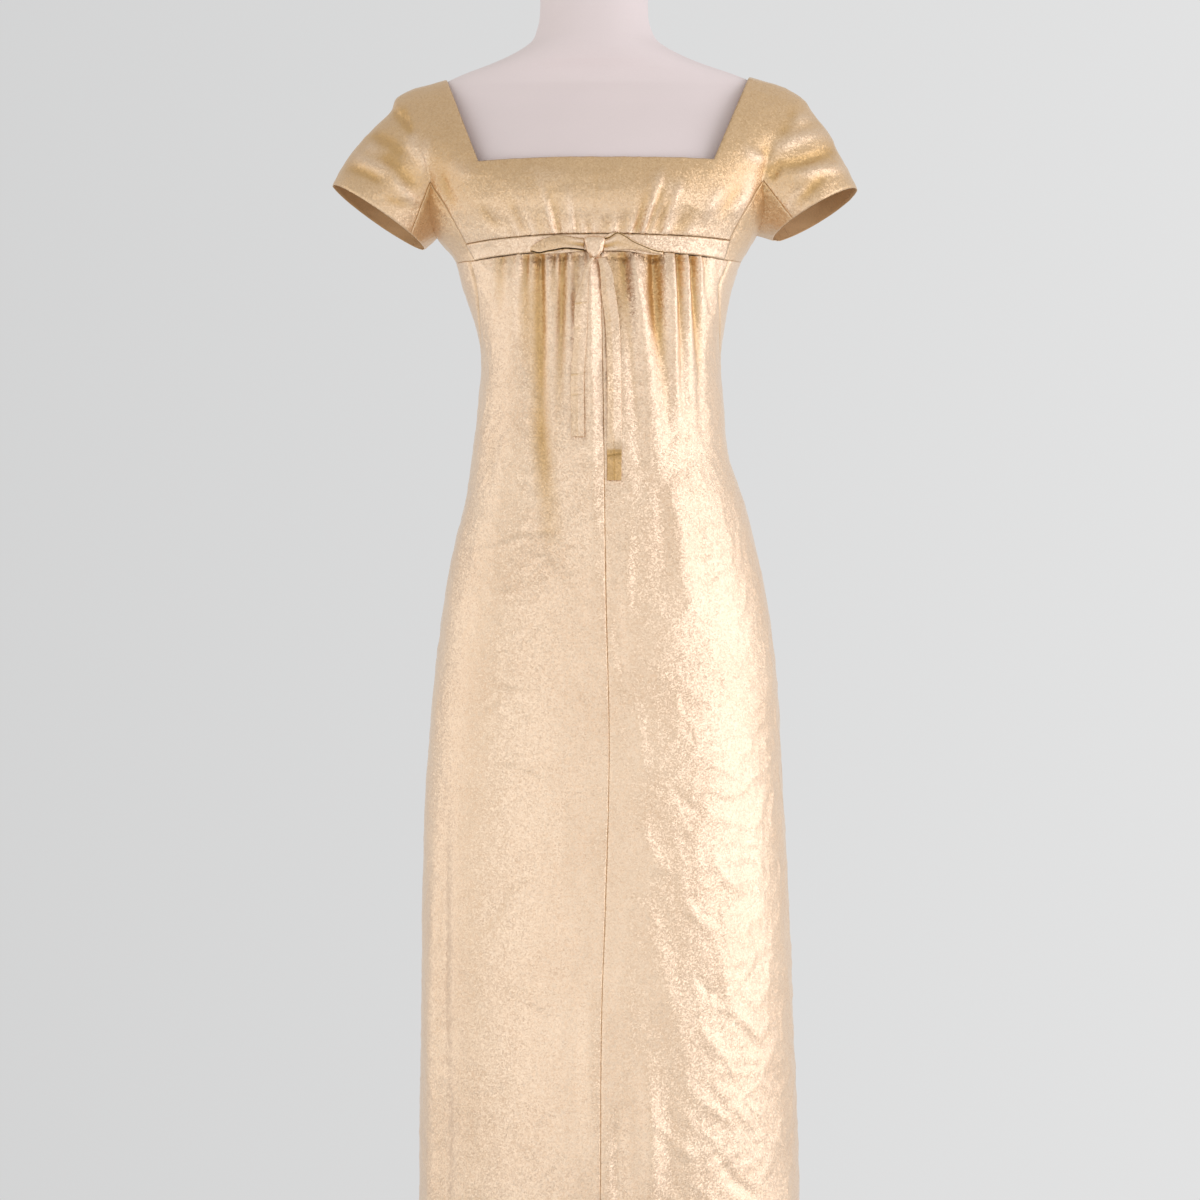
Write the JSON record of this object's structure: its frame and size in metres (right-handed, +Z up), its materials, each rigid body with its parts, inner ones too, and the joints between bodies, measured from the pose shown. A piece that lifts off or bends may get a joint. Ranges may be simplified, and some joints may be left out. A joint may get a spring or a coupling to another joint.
{
  "type": "evening gown on dress form",
  "caption": "Full-length gold empire-line gown with a square neck, cap sleeves, gathered front and a flat bow, worn by a limbless dress form on a round stand.",
  "frame": {"origin": "middle of the underside of the stand's round base, on the floor", "axes": "+Z up, the gown's front faces -Y, and the side at the right of the picture is +X"},
  "size_m": [0.5516, 0.2999, 1.522],
  "materials": {
    "gold_cloth": "woven cloth with a gold metal thread, softly shining, with a fine sparkle",
    "zip_tape": "matt woven zip tape",
    "form_cover": "smooth matt knitted cover in pale pink",
    "stand_metal": "black powder coat"
  },
  "bodies": {
    "root": {"front_bodice": "gold_cloth", "gusset_left": "gold_cloth", "gusset_right": "gold_cloth", "front_band": "gold_cloth", "front_skirt_left": "gold_cloth", "front_skirt_right": "gold_cloth", "back_left": "gold_cloth", "back_right": "gold_cloth", "back_zip": "zip_tape", "bow_loop_left": "gold_cloth", "bow_loop_right": "gold_cloth", "bow_knot": "gold_cloth", "bow_tail_left": "gold_cloth", "bow_tail_right": "gold_cloth", "form_body": "form_cover", "stand_pole": "stand_metal", "stand_base": "stand_metal"}
  },
  "joints": []
}
